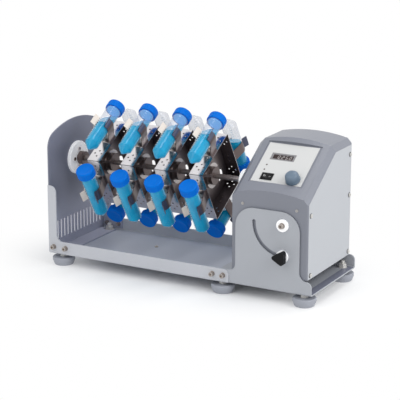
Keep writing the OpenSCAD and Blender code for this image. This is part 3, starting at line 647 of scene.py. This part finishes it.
# %% Finish the others
plain = [
    (housing_grey, ["housing_base_plate"]),
    (label_white, ["control_label"]),
    (zinc, ["flange_screws", "flange_nuts", "floor_screw", "bearing_screws", "pivot_screws",
            "clamp_nut", "board_standoffs", "motor_bracket"]),
    (glint_painted_zinc, ["foot_nuts", "foot_studs", "side_panel_screws"]),
    (bright_zinc, ["front_screws"]),
    (dull_zinc, ["hub_screws", "seam_screws", "clip_screws"]),
    (black_steel, ["end_collar"]),
    (shaft_steel, ["far_bearing", "rotor_shaft", "drive_shaft"]),
    (hub_aluminium, ["speed_potentiometer", "gear_motor"]),
    (hub_steel, ["carrier_hubs"]),
    (carrier_sheet, [f"carrier_{count}_{half}" for count in range(1, 5)
                     for half in ("upper", "lower")]),
    (spring_steel, [f"clips_{count}" for count in range(1, 5)]),
    (acetal_painted_glow, ["far_bearing_flange", "pivot_bushes", "clamp_washer", "drive_bush",
              "drive_coupling"]),
    (black_plastic, ["switch_frame", "mains_inlet", "power_rocker"]),
    (board_green, ["control_board", "power_supply"]),
    (bezel_grey, ["display"]),
    (lens, ["indicator_lights"]),
    (knob_blue, ["speed_knob"]),
    (cap_blue, ["tube_caps"]),
    (tube_clear, ["tubes"]),
    (solution, ["tube_contents"])]
for material, covered in plain:
    for node in covered:
        dress(node, material)
print(sum(len(covered) for _, covered in plain), "nodes finished")

# %% [markdown]
# ## Modelling tools
# The softer pieces are modelled the way it is done by hand: a primitive goes where the piece goes,
# its faces are extruded, inset and scaled in edit mode, and modifiers round it off. Three helpers
# stand for what the mouse does: open a primitive, click on the right faces, and pull a disc up
# through a row of rings, which is how every turned or moulded round piece here starts. The others
# close a piece, copy it to its places, and fit it into the instrument.

# %% Open, pick and pull
def begin(kind, **settings):
    """Adds a primitive with nothing else selected and opens it for editing."""
    bpy.ops.object.select_all(action="DESELECT")
    add = {"circle": bpy.ops.mesh.primitive_circle_add, "cube": bpy.ops.mesh.primitive_cube_add}
    add[kind](location=(0, 0, 0), **settings)
    bpy.ops.object.mode_set(mode="EDIT")
    return bpy.context.object


def pick(test):
    """Selects just the faces whose middle and normal pass the test, and counts them."""
    bpy.ops.mesh.select_mode(type="FACE")
    bpy.ops.mesh.select_all(action="DESELECT")
    mesh = bmesh.from_edit_mesh(bpy.context.object.data)
    found = [face for face in mesh.faces if test(face.calc_center_median(), face.normal)]
    for face in found:
        face.select_set(True)
    bmesh.update_edit_mesh(bpy.context.object.data)
    return len(found)


def grow(rings):
    """Pulls the selected disc up through rings of (height, radius), the first one its own."""
    for (low, inner), (high, outer) in zip(rings, rings[1:]):
        bpy.ops.mesh.extrude_region_move(TRANSFORM_OT_translate={"value": (0, 0, high - low)})
        scale = outer / inner
        bpy.ops.transform.resize(value=(scale, scale, 1), center_override=(0, 0, high))


print("hands ready")

# %% Close, finish and copy
def close(piece, smooth=35):
    """Turns all faces outwards, leaves edit mode and shades the curves smooth."""
    bpy.ops.mesh.select_all(action="SELECT")
    bpy.ops.mesh.remove_doubles(threshold=0.000001)
    bpy.ops.mesh.normals_make_consistent(inside=False)
    bpy.ops.object.mode_set(mode="OBJECT")
    bpy.ops.object.shade_smooth_by_angle(angle=math.radians(smooth))
    return piece


def finish_with(piece, kind, **settings):
    """Adds a modifier with its settings and applies it."""
    modifier = piece.modifiers.new(kind.lower(), kind)
    for name, value in settings.items():
        setattr(modifier, name, value)
    bpy.context.view_layer.objects.active = piece
    bpy.ops.object.modifier_apply(modifier=modifier.name)


def join(pieces, name):
    """Makes one piece of several."""
    bpy.ops.object.select_all(action="DESELECT")
    for piece in pieces:
        piece.select_set(True)
    bpy.context.view_layer.objects.active = pieces[0]
    if len(pieces) > 1:
        bpy.ops.object.join()
    pieces[0].name = name
    pieces[0].data.name = name
    return pieces[0]


def spread_out(piece, places, name):
    """Copies a piece to each place, each with its own mesh, and joins the copies."""
    made = []
    for place in places:
        other = piece.copy()
        other.data = piece.data.copy()
        bpy.context.collection.objects.link(other)
        other.data.transform(place)
        made.append(other)
    bpy.data.objects.remove(piece)
    return join(made, name)


def fit_out(piece, material, body):
    """Gives a new piece its finish and the body it moves with."""
    piece.data.materials.clear()
    piece.data.materials.append(material)
    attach(piece, body)
    print(piece.name, len(piece.data.polygons), "faces")


print("bench ready")

# %% [markdown]
# ## Sixteen tubes
# A conical tube is moulded in clear plastic: a small flat tip, a cone, a long straight barrel and a
# bead below the cap. One wall is enough here, because the clear finish shows both sides of it. The
# first ring is the tip's disc, and each next ring is pulled up from it. The last face, where the
# mouth is, goes away at the end.

# %% Where the tubes lie
PUSHED_IN = 3.5 * mm
# Where the liquid crosses the tubes' axes on each of the four faces, from the tubes' middle.
LIQUID_MIDDLES = [27 * mm, 42 * mm, -6 * mm, -8 * mm]


def tube_place(count, face):
    """The place of a tube, drawn along Z with its tip down, on one face of one carrier."""
    along = ROTOR_MID + (count - 1.5) * PITCH
    slip = 0 if face == 0 or (count == 0 and face % 2 == 1) else -PUSHED_IN
    return (Matrix.Translation((0, 0, AXIS_Z)) @ Matrix.Rotation(math.radians(ROTOR_ANGLE), 4, "X")
            @ Matrix.Rotation(math.radians(45 + 90 * face), 4, "X")
            @ Matrix.Translation((along, slip, FACE + TUBE_RISE))
            @ Matrix.Rotation(math.radians(-90), 4, "X"))


def liquid_level(face):
    """The height at which the liquid stands in the tubes of one face."""
    lean = math.radians(45 + 90 * face + ROTOR_ANGLE)
    return AXIS_Z + (FACE + TUBE_RISE) * math.cos(lean) + LIQUID_MIDDLES[face] * math.sin(lean)


tube_places = [tube_place(count, face) for count in range(4) for face in range(4)]
print(len(tube_places), "places")

# %% Mould one tube
tube = begin("circle", vertices=48, radius=2.2 * mm, fill_type="NGON")
bpy.ops.transform.translate(value=(0, 0, -57.2 * mm))
grow([(h * mm, r * mm) for h, r in [
    (-57.2, 2.2), (-57.0, 2.9), (-56.3, 3.4), (-44.2, 14.1), (-43.2, 14.45), (-42.0, 14.5),
    (45.6, 14.5), (46.0, 15.3), (47.2, 15.3), (47.6, 14.5), (61.6, 14.5)]])
pick(lambda spot, normal: normal.z > 0.9 and spot.z > 61 * mm)
bpy.ops.mesh.delete(type="ONLY_FACE")
close(tube)
print(len(tube.data.polygons), "faces")


# %% Wrap it and lay out the tubes
def wrap(mesh):
    """A UV map with U once round the axis and V along it in metres."""
    layer = mesh.uv_layers.new(name="round_and_along")
    for polygon in mesh.polygons:
        middle = math.atan2(polygon.center.y, polygon.center.x)
        for corner in polygon.loop_indices:
            spot = mesh.vertices[mesh.loops[corner].vertex_index].co
            turn = math.atan2(spot.y, spot.x)
            turn = middle + (turn - middle + math.pi) % (2 * math.pi) - math.pi
            share = turn / (2 * math.pi)
            share = share % 1.0 if len(polygon.vertices) > 4 else share + (middle < 0)
            layer.data[corner].uv = (share, spot.z)


wrap(tube.data)
tube.data.attributes.new("level", "FLOAT", "POINT")
tubes = spread_out(tube, tube_places, "clear_tubes")
each = len(tubes.data.vertices) // len(tube_places)
for index, value in enumerate(tubes.data.attributes["level"].data):
    value.value = liquid_level(index // each % 4)
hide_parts("tubes")
fit_out(tubes, tube_clear, "rotor")

# %% [markdown]
# ## Screw caps
# A cap is a shallow cup with fine ribs to grip. Its wall starts as one face per rib. Each face is
# inset on its own and pushed out a third of a millimetre, so that the ribs stand proud of grooves.
# The top keeps a narrow rounded rim round a slightly sunken field.

# %% Mould one cap
cap = begin("circle", vertices=60, radius=14.6 * mm, fill_type="NGON")
bpy.ops.transform.translate(value=(0, 0, 48.4 * mm))
grow([(h * mm, r * mm) for h, r in [
    (48.4, 14.6), (48.4, 16.8), (48.8, 17.2), (49.6, 17.2), (62.0, 17.2), (63.0, 16.9),
    (63.6, 16.3), (63.8, 15.5), (63.7, 14.4), (63.3, 13.6), (63.3, 4.0)]])
ribs = pick(lambda spot, normal: abs(normal.z) < 0.1 and 50 * mm < spot.z < 61.6 * mm)
bpy.ops.mesh.inset(thickness=0.32 * mm, depth=0.28 * mm, use_individual=True)
close(cap, smooth=30)
print(ribs, "ribs")
caps = spread_out(cap, tube_places, "ribbed_caps")
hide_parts("tube_caps")
fit_out(caps, cap_blue, "rotor")

# %% [markdown]
# ## Plug seals
# Inside each cap a short plug closes the mouth of the tube, and it shows through the clear wall. A
# disc is drawn down in steps, so that its rim is rounded and its middle is dished.

# %% Mould one plug seal
plug = begin("circle", vertices=40, radius=13.2 * mm, fill_type="NGON")
bpy.ops.transform.translate(value=(0, 0, 48.3 * mm))
grow([(h * mm, r * mm) for h, r in [
    (48.3, 13.2), (47.3, 13.2), (46.8, 12.8), (46.6, 12.0), (47.0, 11.0), (47.2, 3.0)]])
close(plug, smooth=40)
plugs = spread_out(plug, tube_places, "plug_seals")
# The seals take the painted glow of their pale blue.
fit_out(plugs, seal_blue_painted_glow, "rotor")

# %% [markdown]
# ## The control face's own frame
# The controls sit on a slope. They are modelled flat, with X along the housing, Y up the slope and
# Z out of the face, and this matrix lays them on it. They stand in a shallow pocket, whose floor
# is at a height along that Z.

# %% Lay things on the slope
RIGHT_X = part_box("right_side_panel")[1][0]
LEFT_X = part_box("left_side_panel")[0][0]
HOUSE_X = RIGHT_X - 75 * mm
SLOPE = math.radians(33.5)
on_slope = (Matrix.Translation((HOUSE_X, -92 * mm, 184.7 * mm))
            @ Matrix.Rotation(SLOPE, 4, "X"))
POCKET = 9 * mm
KNOB = Vector((29 * mm, 46 * mm, 0))
SWITCH = Vector((-22.7 * mm, 47 * mm, 0))
print("slope starts at", [round(v, 4) for v in on_slope.translation])

# %% [markdown]
# ## Speed knob
# A soft dome that a thumb turns. Six broad flutes make the grip: in a ring of 36 wall faces, two in
# every six are pressed inwards, and a subdivision surface melts the steps into smooth waves.

# %% Mould the speed knob
knob = begin("circle", vertices=36, radius=12.6 * mm, fill_type="NGON")
bpy.ops.transform.translate(value=(0, 0, 10.6 * mm))
grow([(h * mm, r * mm) for h, r in [
    (10.6, 12.6), (10.6, 13.7), (11.1, 14.0), (11.7, 14.0), (12.4, 13.6), (16.4, 13.5),
    (21.0, 12.8), (24.4, 11.2), (26.4, 8.6), (27.3, 5.4), (27.5, 2.0)]])


def in_flute(spot):
    """True for the middle two of every six wall faces, below the dome."""
    turn = math.degrees(math.atan2(spot.y, spot.x)) % 60
    return 20 < turn < 40 and 12.6 * mm < spot.z < 24 * mm


flutes = pick(lambda spot, normal: in_flute(spot))
bpy.ops.transform.resize(value=(0.965, 0.965, 1), center_override=(0, 0, 0))
close(knob, smooth=60)
finish_with(knob, "SUBSURF", levels=2, render_levels=2)
knob.data.transform(on_slope @ Matrix.Translation(KNOB))
knob.name = "domed_speed_knob"
print(flutes, "faces in the flutes")
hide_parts("speed_knob")
fit_out(knob, knob_blue, "speed_knob")

# %% [markdown]
# ## Dial marks
# Eleven fine strokes round the knob show its setting. Each stroke is a sliver of ink, so it starts
# as a flat cube and its upper edges are drawn in. The three long ones stand at both ends and in the
# middle of the knob's 300 degrees.

# %% Print the dial
INK_HEIGHT = 0.12 * mm
FILM = POCKET + 0.6 * mm


def stroke(length, width):
    """A sliver of ink along Y, with its upper edges drawn in."""
    piece = begin("cube", size=1)
    bpy.ops.transform.resize(value=(width, length, INK_HEIGHT), center_override=(0, 0, 0))
    pick(lambda spot, normal: normal.z > 0.9)
    drawn_in = (1 - 0.3, 1 - 0.3 * width / length, 1)
    bpy.ops.transform.resize(value=drawn_in, center_override=(0, 0, 0))
    return close(piece)


def dial_place(step, radius):
    """The place of one of eleven steps, 30 degrees apart, round the knob."""
    turn = math.radians(150 - 30 * step)
    return (on_slope @ Matrix.Translation(KNOB + Vector((0, 0, FILM)))
            @ Matrix.Rotation(turn, 4, "Z") @ Matrix.Translation((0, radius, 0)))


steps = range(11)
long_marks = spread_out(stroke(3.2 * mm, 0.5 * mm), [
    dial_place(step, 18.2 * mm) for step in steps if step % 5 == 0], "long_marks")
short_marks = spread_out(stroke(2.0 * mm, 0.5 * mm), [
    dial_place(step, 17.6 * mm) for step in steps if step % 5], "short_marks")
fit_out(join([long_marks, short_marks], "dial_marks"), ink, "frame")

# %% [markdown]
# ## Display
# The module's grey bezel is the solid. In it lies a dark pane with four digits. A digit has
# seven strokes with pointed ends. One stroke is modelled from a six-sided disc that is stretched
# and raised, and it is copied to each lit place, leaning a little as on real displays.

# %% Glaze the display
pane = begin("cube", size=1)
bpy.ops.transform.resize(value=(39.3 * mm, 10.4 * mm, 0.3 * mm), center_override=(0, 0, 0))
pick(lambda spot, normal: normal.z > 0.9)
bpy.ops.mesh.inset(thickness=0.35 * mm, depth=-0.1 * mm)
close(pane)
PANE_AT = Vector((-11.25 * mm, 96.7 * mm, POCKET - 0.22 * mm))
pane.data.transform(on_slope @ Matrix.Translation(PANE_AT))
pane.name = "display_pane"
fit_out(pane, window_dark, "frame")

# %% Light the digits
LIT = {"0": "abcdef", "2": "abdeg", "5": "acdfg"}
DIGIT_W, DIGIT_H, DIGIT_PITCH = 3.6 * mm, 6.4 * mm, 7.4 * mm
# Each stroke's middle in half widths and half heights, and its turn.
SPOTS = {"a": (0, 1, 90), "g": (0, 0, 90), "d": (0, -1, 90), "b": (1, 0.5, 0), "c": (1, -0.5, 0),
         "e": (-1, -0.5, 0), "f": (-1, 0.5, 0)}
segment = begin("circle", vertices=6, radius=1 * mm, fill_type="NGON")
bpy.ops.transform.resize(value=(0.42, 1.25, 1), center_override=(0, 0, 0))
bpy.ops.mesh.extrude_region_move(TRANSFORM_OT_translate={"value": (0, 0, 0.08 * mm)})
close(segment)
lean = Matrix.Identity(4)
lean[0][1] = 0.14
places = []
for column, digit in enumerate("0250"):
    origin = PANE_AT + Vector((column * DIGIT_PITCH - 8 * mm, 0, 0.08 * mm))
    for letter in LIT[digit]:
        across, up, turn = SPOTS[letter]
        spot = Vector((across * DIGIT_W / 2, up * DIGIT_H / 2, 0))
        longer = Matrix.Diagonal((1, 1.1 if turn else 1, 1, 1))
        places.append(on_slope @ Matrix.Translation(origin) @ lean @ Matrix.Translation(spot)
                      @ Matrix.Rotation(math.radians(turn), 4, "Z") @ longer)
digits = spread_out(segment, places, "display_digits")
fit_out(digits, glow_white, "frame")

# %% [markdown]
# ## Rocker marks
# A stroke and a ring tell on from off. They are printed in white on the rocker's two wings, which
# slope away from its middle.

# %% Places on the rocker
TILT = math.radians(7)  # the rocker at rest
WING = math.radians(8.1)
on_rocker = (on_slope @ Matrix.Translation(SWITCH + Vector((0, 0, 7 * mm)))
             @ Matrix.Rotation(TILT, 4, "Y"))
on_place = (on_rocker @ Matrix.Translation((4.9 * mm, 0, 4.55 * mm))
            @ Matrix.Rotation(-WING, 4, "Y") @ Matrix.Rotation(math.radians(90), 4, "Z"))
off_place = (on_rocker @ Matrix.Translation((-4.9 * mm, 0, 4.5 * mm))
             @ Matrix.Rotation(WING, 4, "Y"))
print("on mark at", [round(v, 4) for v in on_place.translation])

# %% Mark the rocker
def flat_ring(radius, width, height):
    """A disc that is inset, loses its middle and is drawn up into a ring."""
    ring = begin("circle", vertices=32, radius=radius, fill_type="NGON")
    bpy.ops.mesh.inset(thickness=width, depth=0)
    bpy.ops.mesh.delete(type="FACE")
    bpy.ops.mesh.select_all(action="SELECT")
    bpy.ops.mesh.extrude_region_move(TRANSFORM_OT_translate={"value": (0, 0, height)})
    return close(ring)


on_mark = spread_out(stroke(3.4 * mm, 0.7 * mm), [on_place], "on_mark")
off_mark = spread_out(flat_ring(1.9 * mm, 0.65 * mm, INK_HEIGHT), [off_place], "off_mark")
for mark in (on_mark, off_mark):
    fit_out(mark, ink_white, "power_rocker")

# %% [markdown]
# ## Washers on the side panels
# A thin black ring lies under each screw and shows as a dark ring round its head. It is made like
# the rocker's ring, and its edges are chamfered.

# %% Cut the washers
# The screws' places on a side panel, along Y and Z in millimetres.
PANEL_SCREWS = [(-81, 165), (-80, 56), (84, 56), (84, 164), (84, 240)]
washer = flat_ring(4.5 * mm, 2.1 * mm, 0.5 * mm)
finish_with(washer, "BEVEL", width=0.12 * mm, segments=2, limit_method="ANGLE")
places = [Matrix.Translation((x, y * mm, z * mm)) @ Matrix.Rotation(math.radians(turn), 4, "Y")
          for x, turn in ((RIGHT_X, 90), (LEFT_X, -90)) for y, z in PANEL_SCREWS]
washers = spread_out(washer, places, "screw_washers")
fit_out(washers, black_plastic, "frame")

# %% [markdown]
# ## The table
# A wide pale sheet that takes the shadow close to the instrument and turns to plain white further
# out, so that the background has no horizon.

# %% Lay the table
bpy.ops.object.select_all(action="DESELECT")
bpy.ops.mesh.primitive_plane_add(size=16, location=(0, 0, 0))
table = bpy.context.object
table.name = "table"
top = Finish("table_top")
oval = {0: top.place(), 1: (0.62, 1, 1)}
spot = top.node("ShaderNodeVectorMath", {"operation": "MULTIPLY"}, oval)
away = top.node("ShaderNodeVectorMath", {"operation": "LENGTH"}, {0: spot}, out="Value")
far = top.ramp(away, 0.105, 0.30)
cloth = top.node("ShaderNodeBsdfDiffuse", {}, {"Color": (0.95, 0.95, 0.95, 1)})
glow = top.node("ShaderNodeEmission", {}, {"Color": (1, 1, 1, 1), "Strength": 1.0})
top.end(top.node("ShaderNodeMixShader", {}, {0: far, 1: cloth, 2: glow}))
table.data.materials.append(top.material)
print("table laid")
